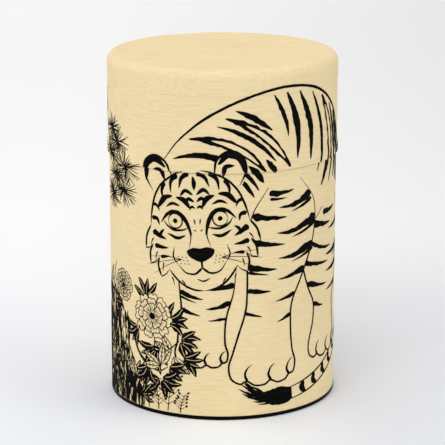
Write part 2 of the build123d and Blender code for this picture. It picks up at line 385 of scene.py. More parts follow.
def body_stripe(points, width):
    """A stripe clear of the shoulder and thigh; bare paper splits a wide one."""
    path = smooth_path(points, STROKE_STEP)
    clear = inside(path, smooth_path(STRIPED, 1, closed=True))
    for limb in (SHOULDER, THIGH):
        clear &= ~inside(path, smooth_path(limb, 1, closed=True))
    kept = np.flatnonzero(clear)
    if len(kept) > 8:
        kept = path[kept[0] : kept[-1] : max(1, len(kept) // 8)]
        brush(list(kept), width, "stripe", rough=0.1)
        if width >= SPLIT_WIDTH:
            brush(list(kept[1:-2]), width * 0.5, "stripe", rough=0.05, wet=False)


def flank_stripe(share, end, width, bow):
    """A stripe from the back towards the belly, bowed like the body."""
    back, belly = along(BACK, share), along(BELLY, share)
    sway = rng.uniform(0.025, 0.05)
    points = []
    for t in np.linspace(0.03, end, 8):
        aside = bow * math.sin(math.pi * t) + sway * math.sin(2.2 * math.pi * t)
        points.append(between(back, belly, t, aside))
    body_stripe(points, width)


def neck_ring(reach, start, end, width):
    """A stripe round the neck, behind the head."""
    ring = arc(0, 0, reach, start, end, 6)
    body_stripe([(NECK[0] + x, NECK[1] + 1.06 * y) for x, y in ring], width)


def tiger_body():
    """The body and its stripes; legs and head cover some."""
    blank(BACK + UNDERSIDE)
    brush(BACK, BACK_LINE)
    for stripe in FLANK_STRIPES:
        flank_stripe(*stripe)
    for ring in NECK_RINGS:
        neck_ring(*ring)


# Its legs and tail ------------

PAW = [
    (-1.08, 0.98), (-1.2, 0.55), (-1.12, 0.15), (-0.84, -0.03), (-0.6, 0.05), (-0.34, -0.1), (0, -0.1),
    (0.2, 0.03), (0.45, -0.08), (0.74, -0.03), (0.88, 0.12), (1.08, 0.2), (1.14, 0.55), (1.02, 0.98),
]
TOES = PAW[4], PAW[7], PAW[10]
LEG_LINE = 0.62
TAIL = [(58, 60), (65, 50), (67, 36), (61, 24), (51, 16.5)]
TAIL += [(41, 11.5), (31, 8.4), (22, 6.8), (14, 7.2), (8, 10.6)]
TAIL_WIDTH = 4.6
TUFT_FROM = 0.83
TUFT_HAIRS = 44

# Each leg's left and right edge, its sole and width, and its bars: the share down the leg, where the
# bar starts and ends across it, and its width.
FAR_FORELEG = (
    [(-15, 52), (-14, 43), (-13.5, 36), (-14.5, 31)],
    [(4.5, 52), (3.5, 43), (1.5, 36), (0.8, 31)],
    (-6.8, 18.5), 15, [
        (0.28, 1, 0.45, 1.7), (0.42, 0, 0.45, 1.6), (0.56, 1, 0.5, 1.6), (0.7, 0, 0.42, 1.4),
        (0.82, 1, 0.6, 1.3),
    ],
)
HIND_LEG = (
    [(39, 67), (31, 60), (28.5, 51), (31, 42), (34, 36), (34, 30)],
    [(52, 69), (60, 60), (59, 49), (53, 40), (49, 35), (49, 30)],
    (41.5, 17), 16.5, [
        (0.06, 0.15, 0.75, 2), (0.17, 0, 0.5, 2.2), (0.25, 1, 0.45, 2.4), (0.33, 0, 0.55, 2.2),
        (0.42, 1, 0.42, 2.3), (0.5, 0, 0.5, 2), (0.58, 1, 0.45, 1.9), (0.68, 0, 0.5, 1.7),
        (0.76, 1, 0.5, 1.6), (0.87, 0, 0.4, 1.4),
    ],
)
NEAR_FORELEG = (
    [(15, 77), (9.5, 68), (8, 56), (8, 45), (7.5, 37), (5.5, 30)],
    [(27, 79), (34, 70), (33.5, 58), (28, 46), (24, 38), (23.5, 30)],
    (14, 12.5), 20, [
        (0.05, 0.1, 0.7, 2.1), (0.14, 1, 0.35, 2.5), (0.22, 0, 0.5, 2.2), (0.3, 1, 0.35, 2.6),
        (0.39, 0, 0.5, 2.2), (0.46, 1, 0.42, 2.3), (0.55, 0, 0.45, 2), (0.62, 1, 0.48, 2),
        (0.71, 0, 0.42, 1.7), (0.78, 1, 0.55, 1.7), (0.87, 0, 0.35, 1.4), (0.92, 1, 0.68, 1.3),
    ],
)


def leg(left, right, sole, width, bars):
    """A leg between two edges, with a broad paw and tapering bars across it."""
    outline = left + moved(PAW, sole, width / 2) + right[::-1]
    blank(outline)
    for t, start, end, thick in bars:
        a, b = along(left, t), along(right, t)
        sag = rng.uniform(-0.16, -0.06)
        points = [between(a, b, s, sag * math.sin(math.pi * s)) for s in np.linspace(start, end, 4)]
        brush(points, thick * rng.uniform(0.85, 1.25), "wedge", rough=0.14)
        if rng.random() < 0.45 and 0 < t < 0.7:
            thin = [(u + 0.3, z - 1.1 - 0.35 * thick) for u, z in points[:3]]
            brush(thin, 0.55 * thick, "wedge", rough=0.1)
    brush(outline, LEG_LINE)
    for x, y in TOES:
        toe = [(x + 0.02, y), (x - 0.07, y + 0.2), (x, y + 0.42), (x + 0.16, y + 0.56)]
        brush(moved(toe, sole, width / 2), 1, "wedge")


def tail(points, width):
    """A ringed tail with a dark, brushy tuft at its end."""
    path = smooth_path(points, 0.5)
    ways, across = directions(path)
    shares = np.linspace(0, 1, len(path))[:, None]
    sides = across * width / 2 * (1.1 - 0.25 * shares)
    root = int(len(path) * TUFT_FROM)
    shapes.append((np.vstack([(path + sides)[: root + 4], (path - sides)[root + 3 :: -1]]), False))
    for edge in (path + sides, path - sides):
        brush(list(edge[: root + 22 : 12]), 0.55)
    for share in np.arange(0.04, 0.8, 0.06):
        k = int(share * (len(path) - 1))
        ring = [path[k] + sides[k], path[k] + ways[k] * width * 0.3, path[k] - sides[k]]
        brush(ring, 1 + 1.5 * share, "blot", rough=0.08, step=0.5)
    tuft = path[root - 2 :]
    brush(list(tuft[:: max(1, len(tuft) // 5)]), width * 1.35, "tuft", rough=0.05)
    for _ in range(TUFT_HAIRS):
        k = rng.randrange(root + 4, len(path) - 3)
        apart = rng.uniform(-1, 1)
        start = path[k] + sides[k] * apart * 0.7
        reach = rng.uniform(3.5, 6.5)
        middle = start + ways[k] * reach * 0.5 + across[k] * apart * 0.8
        brush([start, middle, start + ways[k] * reach + across[k] * apart * 0.9], 1, "wedge", step=1)


# Its face ---------------------

FACE_SIZE = 1.06
FACE_TURN = 6
FACE_ROUGH = 0.06
FUR_LINE = 0.65
CROWN = [
    (0, 16.2), (2.8, 16), (5.6, 15.2), (10, 12.6), (12.2, 10.2), (13.8, 7.4), (15.2, 2.8), (15.8, -0.6),
]
CHEEK_TUFTS = [
    [(15.8, -0.6), (17.8, -3.8), (18.6, -7.8), (17, -7.6), (15.6, -6.4)],
    [(15.6, -6.4), (17, -9), (17.2, -12.6), (15.4, -12), (13.8, -10.6)],
    [(13.8, -10.6), (14.4, -13.2), (13.6, -16.6), (11.8, -15.6), (10.6, -14.2)],
]
CHIN = [(10.6, -14.2), (8.6, -17), (6, -19.4), (3, -20.8), (0, -21.2)]
FUR_MARKS = ((15.2, -4.6, 1.3), (14.2, -8.8, 1), (12.4, -12.2, 0.4), (10, -16.6, -0.6), (6.8, -17.6, -1.2))
EAR = [(6.6, 13.8), (7.8, 18.6), (11.6, 21), (15.4, 19.2), (16.2, 14.6), (13.8, 10)]
EYE = [(3.4, -0.8), (4.4, 2), (7, 3.4), (9.6, 2.4), (10.6, 0.8), (9, -1.1), (6.2, -1.8)]
IRIS = (7, 0.8)
IRIS_R = 2.3
PUPIL_R = 0.75
NOSE = [(0, -8), (2.2, -7.7), (4.2, -8.6), (3.6, -10.4), (1.4, -11.8), (0, -12.2)]


def on_face(points):
    return moved(points, HEAD, FACE_SIZE, FACE_TURN)


def mirrored(points):
    return [(-x, y) for x, y in points]


def whole(half):
    """A closed outline from its right half, which starts and ends on the middle line."""
    return half + mirrored(half[-2:0:-1])


def face_stroke(points, width, press="line", step=STROKE_STEP):
    brush(on_face(points), width * FACE_SIZE, press, FACE_ROUGH, step)


def face_pair(points, width, press="line", step=STROKE_STEP):
    """A stroke on the right of the face and its mirror image on the left."""
    face_stroke(points, width, press, step)
    face_stroke(mirrored(points), width, press, step)


def face_cover(points):
    """Bare paper on both sides of the face."""
    blank(on_face(mirrored(points)), STROKE_STEP)
    blank(on_face(points), STROKE_STEP)


def ears():
    """Round ears, dark round the edge."""
    face_cover(EAR)
    face_pair(EAR, 0.7)
    face_pair([(8.2, 17.4), (11.6, 20), (15, 18.2), (15.6, 14)], 2.3, "stripe")
    face_pair([(9.2, 13.4), (10.2, 16.4), (12.8, 16.6)], 1.5, "stripe")


def head_outline():
    """The round of the head, with three tufts of fur down each cheek."""
    half = CROWN + [point for tuft in CHEEK_TUFTS for point in tuft[1:]] + CHIN[1:]
    shapes.append((np.array(on_face(whole(half))), False))
    face_pair(CROWN[1:], FUR_LINE)
    for tuft in CHEEK_TUFTS:
        face_pair(tuft[:3], FUR_LINE)
        face_pair(tuft[2:], 0.5, "wedge")
    face_pair(CHIN, 0.6)
    for x, y, lean in FUR_MARKS:
        face_pair([(x, y), (x + lean * 0.7, y - 1.2), (x + lean, y - 2.8)], 0.5, "wedge")


FOREHEAD = (
    ([(1.2, 15.2), (3.6, 13.8), (4.8, 10.6)], 1.7, "wedge"),
    ([(5, 15), (7.2, 12.8), (7.6, 9.4)], 1.7, "wedge"),
    ([(9.4, 12.6), (10.6, 10.2), (10.4, 7.2)], 1.5, "wedge"),
    ([(0.6, 8.6), (2.8, 10), (4.6, 8.4)], 1.2, "stripe"),
    ([(0.4, 6.4), (2, 7.4), (3.4, 6)], 1.1, "stripe"),
    ([(0.3, 4.4), (1.3, 5), (2.1, 4)], 0.8, "stripe"),
)
BROWS = (
    ([(2, 4.6), (3.4, 7), (6, 8.1)], 1.7),
    ([(7.2, 8.5), (10, 7.8), (12.6, 4.8)], 1.7),
    ([(5, 5.4), (7.4, 6.2), (9.6, 5.2)], 0.9),
)
EYE_RIMS = (
    ([(2.2, -3.8), (3.4, 0.2), (5.2, 2.8), (7.4, 3.6), (9.6, 2.8), (11.8, 0.4)], 1.4),
    ([(2.9, -1.4), (5, -2.1), (7.6, -2), (9.6, -0.8), (10.8, 0.9)], 0.7),
    ([(4.2, -3.8), (6.8, -4.5), (10, -3)], 1),
    ([(11, -1.8), (12.4, -3), (12.6, -4.8)], 1),
)
CHEEK_BARS = (
    ([(14.6, 6), (13, 5.6), (12, 3.8)], 1.3),
    ([(15.1, 1.8), (13.2, 1.4), (12.6, -0.6)], 1.6),
    ([(15.2, -2.4), (12.6, -4), (10.6, -5)], 2),
    ([(15, -6.8), (12.4, -7.4), (10.2, -7.6)], 1.8),
    ([(13.2, -10.4), (11.4, -10.2), (9.8, -10.2)], 1.3),
)


def forehead():
    """Stripes fanned about the middle of the forehead."""
    face_stroke([(0, 14.2), (0.15, 12.2), (0, 10)], 1.4, "stripe")
    for stripe in FOREHEAD:
        face_pair(*stripe)


def eyes():
    """Brows, and round eyes with dark rims that run down beside the nose."""
    for points, width in BROWS:
        face_pair(points, width, "stripe")
    face_cover(EYE)
    face_pair(arc(*IRIS, IRIS_R, 0, 360, 10), 0.42)
    face_pair([(IRIS[0] - PUPIL_R, IRIS[1]), (IRIS[0] + PUPIL_R, IRIS[1])], 2 * PUPIL_R, "blot", step=0.2)
    for points, width in EYE_RIMS:
        face_pair(points, width, "stripe")


def muzzle():
    """The nose and its bridge, the mouth, and whiskers with dots at their roots."""
    face_pair([(3.2, -0.6), (2.5, -4.2), (3.4, -8)], 0.55, "wedge")
    face_pair([(1, 1.2), (0.7, -0.6)], 0.45, "stripe")
    face_pair([(1.4, -2.2), (0.6, -2.6)], 0.4, "stripe")
    shapes.append((smooth_path(on_face(whole(NOSE)), 0.4, closed=True), True))
    face_stroke([(0, -11.8), (0, -14.2)], 0.6)
    face_pair([(0, -14), (2.4, -15.8), (5.4, -15.2), (7.6, -12.4)], 0.8, "wedge")
    face_pair([(8.2, -7.4), (8.8, -10.2), (7.6, -12.6)], 0.45, "stripe")
    face_stroke([(2, -17.4), (0, -18.2), (-2, -17.4)], 0.5, "stripe")
    for row in range(3):
        for k in range(3):
            x, y = 4.4 + 1.25 * k - 0.3 * row, -10.6 - 1.04 * row + 0.12 * k
            face_pair([(x, y), (x + 0.45, y)], 0.42, "blot", step=0.25)
    for rise, reach in ((1.2, 17.5), (-1.4, 18.5), (-4.2, 16.5)):
        face_pair([(6.2, -11.2), (11, -10.8 + rise * 0.5), (reach, -11.6 + rise)], 0.24, "needle", step=2)


def cheeks():
    """Short bars that come in from the sides of the face."""
    for points, width in CHEEK_BARS:
        face_pair(points, width, "wedge")


# The whole drawing ------------

FOOT = 1.8
BRANCH = [(-100, 108), (-82, 101), (-62, 97), (-47, 85)]
PINE_BURSTS = (
    ((-46, 92), 7.5), ((-42, 88), 8.5), ((-47, 84), 8), ((-37, 80.5), 9), ((-43.5, 77), 8.5),
    ((-38, 72.5), 8), ((-47, 70), 8), ((-60, 99), 9), ((-69, 95), 9), ((-80, 103), 9.5), ((-92, 106), 8),
    ((-64, 88), 8), ((-102, 101), 8),
)


def tiger():
    """The body first, then each leg, the head and the tail over it."""
    tiger_body()
    for one_leg in (FAR_FORELEG, HIND_LEG, NEAR_FORELEG):
        leg(*one_leg)
    ears()
    head_outline()
    forehead()
    eyes()
    muzzle()
    cheeks()
    tail(TAIL, TAIL_WIDTH)


def left_side():
    """The rock, flowers, sprigs and pine at the left."""
    rock(ROCK, 330, 170)
    leaf_spray((-40, 34), 7, (120, 150, 180, 215, 245), 2.2)
    peony((-39.2, 40.5), 5.4)
    bush((-24.5, 33), 0.86)
    for u, height, lean in ((-18.5, 12, 3), (-22, 8, -1), (-26, 10, -3), (-14, 6, 1.5)):
        sprig((u, FOOT), height, lean)
    brush(BRANCH, 1.8, "wedge", rough=0.25)
    for place, reach in PINE_BURSTS:
        pine_burst(place, reach)


def back_side():
    """Two more bushes, a rock and sprigs round the back."""
    bush((-74, 30), 0.85)
    rock(FAR_ROCK, 240, 140)
    bush((99, 36), 0.95)
    for u in (-108, -101, -95, -62, -58, 74, 80, 86):
        sprig((u, FOOT), rng.uniform(7, 15), rng.uniform(-3, 3))


# Paper ------------------------
# Each sheet keeps to the CAD's radii and heights. The laid ripple, the pasted overlap at the back
# and the pleats on the shoulder are added to its face.


def paper_size(node):
    """The radius, foot and top of a paper in the CAD, in millimetres."""
    low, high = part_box(node)
    return high.x / MM, low.z / MM, high.z / MM


BODY_R, BODY_FOOT, BODY_TOP = paper_size("body_washi")
HEM_R, HEM_FOOT, _ = paper_size("lid_side_washi")
TOP_R, TOP_FOOT, LID_TOP = paper_size("lid_top_washi")

PAPER = 0.2
TOP_PAPER = 0.1
SIDE_R = TOP_R - TOP_PAPER - 0.01
TOP_BEND = 3
BODY_BEND = 0.25
HEM_BEND = 0.6
BULGE_FULL = HEM_FOOT + 2.3
BULGE_TOP = HEM_FOOT + 5.7
OVERLAP_HALF = 3.5
OVERLAP_RISE = 0.11
OVERLAP_SOFT = 0.8
OVERLAP_CUT = 0.1
BODY_FADE = 0.8
BULGE_FADE = 0.5
SIDE_FADE = 0.3
PLEAT_FADE = 6
PLEAT = 0.022
GRAIN = 0.01
COLUMNS = 300
CUT_ANGLE = 0.003
CLEAR_ANGLE = 0.005
RING_STEP = 0.42
TOP_RINGS = 50
BACK_RING = 6
SHARP = math.radians(40)


def ease(x):
    """A smooth step from 0 to 1."""
    x = np.clip(x, 0, 1)
    return x * x * (3 - 2 * x)


def side_radius(z):
    """The radius of the lid's side paper, which swells above the hem."""
    return SIDE_R + (HEM_R - SIDE_R) * ease((BULGE_TOP - z) / (BULGE_TOP - BULGE_FULL))


def overlap(theta):
    """The rise of the overlap at the back, sharp on one side and soft on the other."""
    reach = (np.pi - np.abs(theta)) * BODY_R * np.where(theta < 0, -1, 1)
    soft = ease((reach + OVERLAP_HALF + OVERLAP_SOFT) / OVERLAP_SOFT)
    return OVERLAP_RISE * soft * ease((OVERLAP_HALF - reach) / OVERLAP_CUT)


def around(theta, r):
    """The x and y at a radius, turned theta from the front to the right."""
    return r * math.sin(theta), -r * math.cos(theta)


def ripple(theta, r, z):
    """The washi's laid ripple: shallow waves, long round the caddy and short up it."""
    x, y = around(theta, r)
    broad = noise.noise(Vector((x * 0.045, y * 0.045, z * 0.55)))
    fine = noise.noise(Vector((x * 0.11, y * 0.11, z * 0.95 + 40)))
    return 0.011 * broad + 0.009 * fine


def body_lift(theta, r, z):
    """The body paper's relief, which dies away at its folded top edge."""
    return (overlap(theta) + ripple(theta, r, z)) * ease((BODY_TOP - z) / BODY_FADE)


def side_lift(theta, r, z):
    """The lid side paper's relief, none where the top paper lies over it."""
    seam = overlap(theta) * ease((z - BULGE_TOP) / BULGE_FADE)
    return (seam + ripple(theta, r, z)) * ease((TOP_FOOT - z) / SIDE_FADE)


def top_lift(theta, r, z):
    """The flat top's grain runs straight across, and the shoulder is pleated."""
    x, y = around(theta, r)
    grain = GRAIN * noise.noise(Vector((x * 0.07, y * 0.5, 9)))
    depth = ease((LID_TOP - z) / TOP_BEND) * ease((z - TOP_FOOT) / PLEAT_FADE)
    fine, broad = Vector((x * 1.1, y * 1.1, z * 0.22)), Vector((x * 0.4, y * 0.4, z))
    return grain + PLEAT * depth * (noise.noise(fine) + 0.6 * noise.noise(broad))


def column_angles():
    """Angles round the caddy, with a close pair at the overlap's cut edge."""
    edge = np.pi - OVERLAP_HALF / BODY_R
    angles = np.linspace(-np.pi, np.pi, COLUMNS, endpoint=False)
    return np.sort(np.append(angles[np.abs(angles - edge) > CLEAR_ANGLE], [edge - CUT_ANGLE, edge]))


def add_object(name, data):
    """A new object in the scene, with its data."""
    thing = bpy.data.objects.new(name, data)
    scene.collection.objects.link(thing)
    return thing


def smooth_mesh(name, verts, faces):
    """A smooth-shaded mesh."""
    mesh = bpy.data.meshes.new(name)
    mesh.from_pydata(verts, [], faces)
    mesh.polygons.foreach_set("use_smooth", [True] * len(faces))
    return mesh


def link(name, verts, faces):
    """A smooth-shaded object of points in millimetres, with its sharp edges kept."""
    mesh = smooth_mesh(name, [(x * MM, y * MM, z * MM) for x, y, z in verts], faces)
    mesh.set_sharp_from_angle(angle=SHARP)
    mesh.update()
    return add_object(name, mesh)


def sheet(name, path, thickness, lift):
    """A closed sheet turned about the axis: its face on the path, moved out by lift(theta, r, z).

    The path runs upwards and then inwards; one that ends on the axis is closed there with fans.
    """
    path = np.array(path, float)
    ways = np.gradient(path, axis=0)
    normals = np.column_stack([ways[:, 1], -ways[:, 0]]) / np.linalg.norm(ways, axis=1)[:, None]
    ends_on_axis = path[-1, 0] < 1e-6
    shown = range(len(path) - ends_on_axis)
    hidden = [k for k in shown if k % BACK_RING == 0 or k == shown[-1]][::-1]
    angles = column_angles()
    verts = []
    for k in shown:
        for theta in angles:
            r, z = path[k] + normals[k] * lift(theta, *path[k])
            verts.append((*around(theta, r), z))
    for k in hidden:
        r, z = path[k] - normals[k] * thickness
        verts += [(*around(theta, r), z) for theta in angles]
    count, rings = len(angles), len(shown) + len(hidden)
    faces = []
    for ring in range(rings):
        above = (ring + 1) % rings
        if ends_on_axis and ring == len(shown) - 1:
            continue
        for k in range(count):
            n = (k + 1) % count
            faces.append((ring * count + k, ring * count + n, above * count + n, above * count + k))
    if ends_on_axis:
        face_ring, back_ring = (len(shown) - 1) * count, len(shown) * count
        middle = len(verts)
        verts += [(0, 0, path[-1, 1]), (0, 0, path[-1, 1] - thickness)]
        for k in range(count):
            n = (k + 1) % count
            faces.append((face_ring + k, face_ring + n, middle))
            faces.append((back_ring + n, back_ring + k, middle + 1))
    return link(name, verts, faces)


def rise(low, high, radius):
    """Path points up a side, whose radius may follow the height."""
    return [(float(radius(z)), z) for z in np.linspace(low, high, round((high - low) / RING_STEP) + 1)]


def make_body_paper():
    """Up the body, and folded in over its top edge."""
    path = rise(BODY_FOOT, BODY_TOP - BODY_BEND, lambda z: BODY_R)
    path += arc(BODY_R - BODY_BEND, BODY_TOP - BODY_BEND, BODY_BEND, 20, 90, 5)
    path += [(BODY_R - 2 * BODY_BEND, BODY_TOP)]
    return sheet("body_paper", path, PAPER, body_lift)


def make_side_paper():
    """Under the lid's edge, round the hem and the swelling, and up under the top paper."""
    path = [(HEM_R - 0.85, HEM_FOOT), (HEM_R - 0.75, HEM_FOOT)]
    path += arc(HEM_R - HEM_BEND, HEM_FOOT + HEM_BEND, HEM_BEND, -90, -8, 8)
    path += rise(HEM_FOOT + HEM_BEND + 0.1, TOP_FOOT + 1.5, side_radius)
    return sheet("lid_side_paper", path, PAPER, side_lift)


def make_top_paper():
    """Up the lid's side, over the shoulder and in to the middle of the top."""
    path = rise(TOP_FOOT, LID_TOP - TOP_BEND, lambda z: TOP_R)
    path += arc(TOP_R - TOP_BEND, LID_TOP - TOP_BEND, TOP_BEND, 6, 90, 15)
    path += [(r, LID_TOP) for r in np.linspace(TOP_R - TOP_BEND, 0, TOP_RINGS)[1:]]
    return sheet("lid_top_paper", path, TOP_PAPER, top_lift)


# Ink on the paper -------------

INK_RISE = 0.07
INK_ROOT = -0.06
INK_COLUMN = 2
INK_DETAIL = 0.03
BODY_INK = (BODY_FOOT + 0.1, BODY_TOP - 0.04)
LID_INK = (HEM_FOOT + 0.08, LID_TOP - TOP_BEND)

# Heights where the ink is cut, so that it follows the paper's bends.
LEVELS = [*BODY_INK, *LID_INK, TOP_FOOT - 0.02, TOP_FOOT + 0.02]
LEVELS += [BODY_TOP - depth for depth in (0.12, 0.25)]
LEVELS += [HEM_FOOT + depth for depth in (0.18, 0.35, 0.6, 1.2)]
LEVELS += list(np.arange(BULGE_FULL, BULGE_TOP + 0.5, 0.7))


def round_off(depth, bend):
    """How far a rounded edge falls back, a depth in from its end."""
    short = bend - np.clip(depth, 0, bend)
    return bend - np.sqrt(bend**2 - short**2)


def paper_radius(theta, z):
    """The radius of the paper's face, body or lid, without its ripple."""
    body_seam = overlap(theta) * ease((BODY_TOP - z) / BODY_FADE)
    body = BODY_R + body_seam - round_off(BODY_TOP - z, BODY_BEND)
    lid_seam = overlap(theta) * ease((z - BULGE_TOP) / BULGE_FADE)
    side = side_radius(z) + lid_seam - round_off(z - HEM_FOOT, HEM_BEND)
    lid = np.where(z < TOP_FOOT, side, TOP_R)
    return np.where(z < (BODY_TOP + HEM_FOOT) / 2, body, lid)


def spare(outline):
    """The outline without every second point that hardly bends it, in two rounds."""
    for _ in range(2):
        before, after = np.roll(outline, 1, axis=0), np.roll(outline, -1, axis=0)
        way, part = after - before, outline - before
        area = np.abs(way[:, 0] * part[:, 1] - way[:, 1] * part[:, 0])
        off = area / np.maximum(np.linalg.norm(way, axis=1), 1e-9)
        keep = (off > INK_DETAIL) | (np.arange(len(outline)) % 2 == 0)
        if keep.sum() > 5:
            outline = outline[keep]
    return outline


def triangulate(points, edges):
    """Triangles that keep the edges: corner places, corners and middles, in order of u."""
    flat = delaunay_2d_cdt([Vector(p) for p in points], edges, [], 0, 1e-5)
    places = np.array([tuple(v) for v in flat[0]])
    corners = np.array(flat[2])
    middles = places[corners].mean(axis=1)
    order = np.argsort(middles[:, 0])
    return places, corners[order], middles[order]


def tones(outlines, middles):
    """Each triangle's tone, True for ink: that of the last shape it lies in."""
    tone = np.zeros(len(middles), bool)
    for outline, wet in outlines:
        low, high = outline.min(axis=0), outline.max(axis=0)
        first, last = np.searchsorted(middles[:, 0], (low[0], high[0]))
        near = middles[first:last]
        rows = first + np.flatnonzero((near[:, 1] > low[1]) & (near[:, 1] < high[1]))
        rows = rows[inside(middles[rows], outline)]
        tone[rows] = wet
    return tone


def ends(corners):
    """The directed edges that only one of the triangles has."""
    ways = np.vstack([corners[:, [0, 1]], corners[:, [1, 2]], corners[:, [2, 0]]])
    seen = set(map(tuple, ways.tolist()))
    return [(a, b) for a, b in seen if (b, a) not in seen]


def flat_triangles():
    """The drawing as triangles in its plane, with each one's tone.

    A first round finds where ink meets bare paper. The second keeps only those edges, and cuts
    along lines up and round the caddy.
    """
    points, edges = [], []
    outlines = [(spare(outline), wet) for outline, wet in shapes]
    for outline, _ in outlines:
        first = len(points)
        points += [tuple(p) for p in outline]
        edges += [(first + k, first + (k + 1) % len(outline)) for k in range(len(outline))]
    places, corners, middles = triangulate(points, edges)
    edges = ends(corners[tones(outlines, middles)])
    used, edges = np.unique(edges, return_inverse=True)
    points = [tuple(p) for p in places[used]]
    edges = [tuple(e) for e in edges.reshape(-1, 2).tolist()]
    reach = max(abs(p[0]) for p in points) + 1
    cuts = [((u, 0), (u, LID_TOP)) for u in np.arange(-reach, reach, INK_COLUMN)]
    cuts += [((-reach, z), (reach, z)) for z in LEVELS]
    for cut in cuts:
        edges.append((len(points), len(points) + 1))
        points += cut
    places, corners, middles = triangulate(points, edges)
    return places, corners, middles, tones(outlines, middles)


def ink_piece(name, places, corners):
    """The triangles as a thin closed layer round the caddy, rooted in the paper."""
    used, corners = np.unique(corners, return_inverse=True)
    corners = corners.reshape(-1, 3)
    u, z = places[used].T
    theta = u / BODY_R
    verts = []
    for lift in (INK_RISE, INK_ROOT):
        r = paper_radius(theta, z) + lift
        verts += list(zip(r * np.sin(theta), -r * np.cos(theta), z))
    count = len(used)
    faces = [tuple(t) for t in corners] + [tuple(t + count) for t in corners[:, ::-1]]
    faces += [(b, a, a + count, b + count) for a, b in ends(corners)]
    return link(name, verts, faces)


def make_ink():
    """The drawing as two pieces, parted at the seam between body and lid."""
    places, corners, middles, tone = flat_triangles()
    for name, (low, high) in (("body_ink", BODY_INK), ("lid_ink", LID_INK)):
        kept = tone & (middles[:, 1] > low) & (middles[:, 1] < high)
        yield ink_piece(name, places, corners[kept])


# Materials --------------------


class Nodes:
    """The shader nodes of a new material or world."""

    def __init__(self, name, kept_in=bpy.data.materials, shader="Principled BSDF"):
        self.owner = kept_in.new(name)
        self.owner.use_nodes = True
        self.tree = self.owner.node_tree
        self.shader = self.tree.nodes[shader]

    def add(self, kind, settings=None, **inputs):
        """A node with its settings, and inputs by name, or by number as i0, i1 and so on."""
        node = self.tree.nodes.new("ShaderNode" + kind)
        for key, value in (settings or {}).items():
            setattr(node, key, value)
        for key, value in inputs.items():
            self.feed(node.inputs[int(key[1:]) if key[1:].isdigit() else key.replace("_", " ")], value)
        return node

    def feed(self, socket, value):
        """Links a node or an output to the socket, or sets its value."""
        if isinstance(value, bpy.types.Node):
            value = value.outputs[0]
        if isinstance(value, bpy.types.NodeSocket):
            self.tree.links.new(value, socket)
        else:
            socket.default_value = value

    def math(self, operation, first, second=0):
        return self.add("Math", {"operation": operation}, i0=first, i1=second)

    def times(self, first, second):
        return self.math("MULTIPLY", first, second)

    def plus(self, first, second):
        return self.math("ADD", first, second)

    def mix(self, factor, first, second):
        """A blend of two colours."""
        return self.add("Mix", {"data_type": "RGBA"}, Factor=factor, i6=first, i7=second).outputs[2]

    def ramp(self, value, low, high, kind="LINEAR"):
        """The value's stretch from low to high, as 0 to 1."""
        return self.add("MapRange", {"interpolation_type": kind}, Value=value, From_Min=low, From_Max=high)

    def soft_ramp(self, value, low, high):
        """The same, easing in and out."""
        return self.ramp(value, low, high, "SMOOTHSTEP")

    def spread(self, value, low, high):
        """A value from 0 to 1, as low to high."""
        return self.add("MapRange", Value=value, To_Min=low, To_Max=high)

    def noise(self, vector, scale, detail=3, roughness=0.55):
        return self.add("TexNoise", Vector=vector, Scale=scale, Detail=detail, Roughness=roughness)

    def place(self):
        """The point's place in the object, in metres."""
        return self.add("TexCoord").outputs["Object"]

    def axes(self):
        """The same, as three outputs x, y and z."""
        return self.add("SeparateXYZ", Vector=self.place()).outputs

    def vector(self, x, y, z):
        return self.add("CombineXYZ", X=x, Y=y, Z=z)

    def reach(self, x, y):
        """The distance from the axis."""
        return self.math("SQRT", self.plus(self.times(x, x), self.times(y, y)))

    def bump(self, height, distance, strength):
        return self.add("Bump", Height=height, Distance=distance, Strength=strength)

    def finish(self, **inputs):
        """The material or world, once these inputs of its shader are set."""
        for key, value in inputs.items():
            self.feed(self.shader.inputs[key.replace("_", " ")], value)
        return self.owner


def unrolled(n, stretch):
    """Coordinates round the caddy, squeezed by the stretch, and up it."""
    x, y, z = n.axes()
    turn = n.math("ARCTAN2", x, n.times(y, -1))
    return n.vector(n.times(turn, BODY_R * MM / stretch), z, 0)


def across_top(n, stretch):
    """Coordinates on the flat top, squeezed along its grain by the stretch."""
    x, y, z = n.axes()
    return n.vector(n.math("DIVIDE", x, stretch), y, z)


CREAM = (0.83, 0.675, 0.385, 1)
CREAM_PALE = (0.87, 0.73, 0.44, 1)
CREAM_DEEP = (0.76, 0.6, 0.33, 1)
INK = (0.002, 0.002, 0.002, 1), (0.009, 0.008, 0.007, 1)
TIN = (0.56, 0.56, 0.54, 1), (0.68, 0.67, 0.64, 1)
TIN_LINE = (0.2, 0.2, 0.2, 1)
LACQUER = (0.001, 0.001, 0.001, 1), (0.004, 0.004, 0.004, 1)
ALUMINIUM = (0.66, 0.67, 0.68, 1), (0.8, 0.8, 0.81, 1)


def washi(name, coordinates):
    """Cream washi: long fibres laid one way, cloudy tone and a fine tooth."""
    n = Nodes(name)
    streaks = n.noise(coordinates(n, 11), 1700, detail=4, roughness=0.6)
    fibres = n.noise(coordinates(n, 26), 3400, detail=2, roughness=0.5)
    clouds = n.noise(n.place(), 45)
    tooth = n.noise(n.place(), 2600, detail=2)
    tone = n.mix(n.ramp(streaks, 0.38, 0.62), CREAM_DEEP, CREAM)
    tone = n.mix(n.times(n.ramp(fibres, 0.54, 0.68), 0.55), tone, CREAM_PALE)
    tone = n.mix(n.times(n.ramp(clouds, 0.35, 0.75), 0.35), tone, CREAM_PALE)
    height = n.plus(streaks, n.times(fibres, 0.35))
    height = n.plus(height, n.times(tooth, 0.15))
    rough = n.spread(streaks, 0.62, 0.78)
    bump = n.bump(height, 0.00015, 0.6)
    return n.finish(Base_Color=tone, Roughness=rough, Normal=bump, Specular_IOR_Level=0.25)


